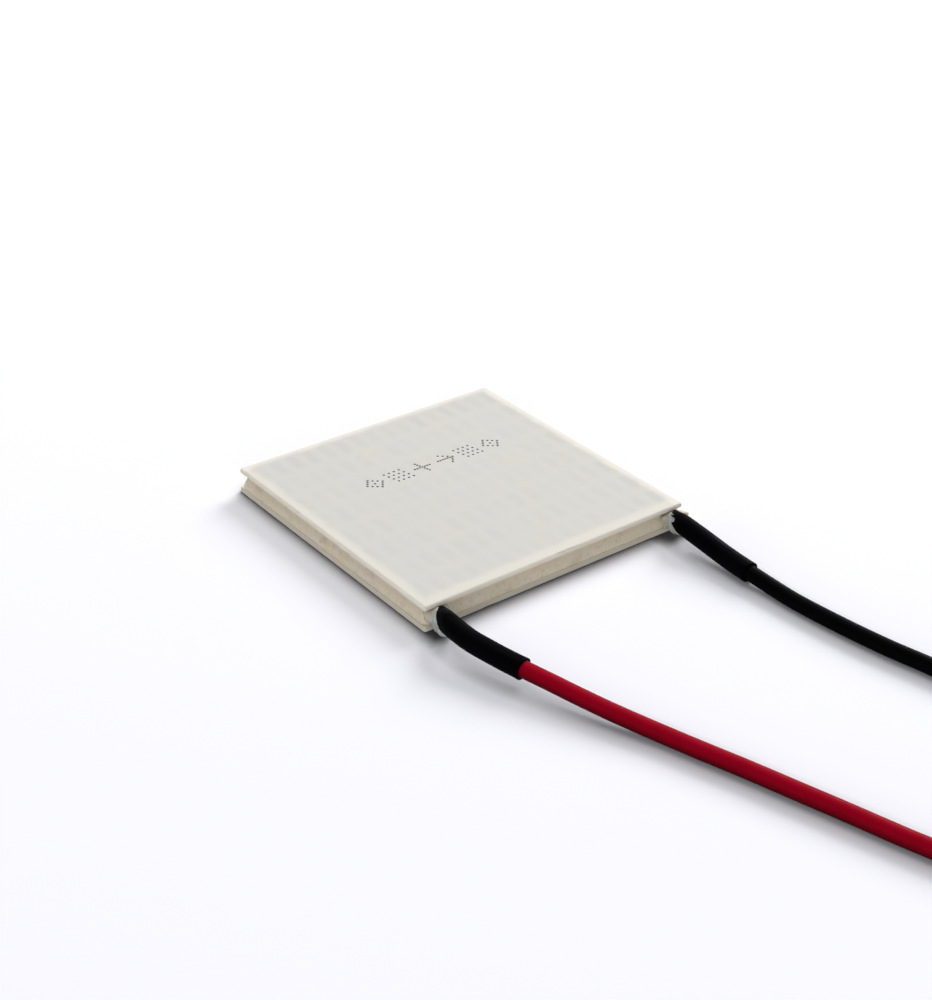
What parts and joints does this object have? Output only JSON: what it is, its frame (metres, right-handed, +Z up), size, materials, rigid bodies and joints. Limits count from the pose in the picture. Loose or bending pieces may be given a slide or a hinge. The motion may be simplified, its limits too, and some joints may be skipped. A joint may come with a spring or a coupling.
{
  "type": "thermoelectric cooling module",
  "caption": "Square solid-state cooling module: two thin ceramic plates with semiconductor pellets sealed between them, and two sleeved leads at one edge that end in stripped tips.",
  "frame": {"origin": "centre of the underside, on the surface that the module lies on, leads not counted", "axes": "+Z up through both plates to the hot side, +X along the edge that the leads leave, -Y the way the leads leave"},
  "size_m": [0.0704, 0.1239, 0.0041],
  "materials": {
    "ceramic": "matte",
    "copper": "satin",
    "p_type": "satin",
    "n_type": "satin",
    "solder": "satin",
    "seal": "matte",
    "clear_seal": "gloss",
    "tinned_copper": "satin",
    "sleeve": "satin",
    "red_insulation": "satin",
    "black_insulation": "satin"
  },
  "bodies": {
    "root": {"hot_side_plate": "ceramic", "cold_side_plate": "ceramic", "hot_side_tabs": "copper", "cold_side_tabs": "copper", "red_terminal_pad": "copper", "black_terminal_pad": "copper", "p_type_pellets": "p_type", "n_type_pellets": "n_type", "hot_side_solder": "solder", "cold_side_solder": "solder", "edge_seal": "seal", "red_lead_seal": "clear_seal", "black_lead_seal": "clear_seal", "red_terminal_solder": "solder", "black_terminal_solder": "solder", "red_lead_core": "tinned_copper", "black_lead_core": "tinned_copper", "red_lead_sleeve": "sleeve", "black_lead_sleeve": "sleeve", "red_lead": "red_insulation", "black_lead": "black_insulation", "red_lead_coil": "red_insulation", "black_lead_coil": "black_insulation", "red_lead_tip": "tinned_copper", "black_lead_tip": "tinned_copper"}
  },
  "joints": []
}
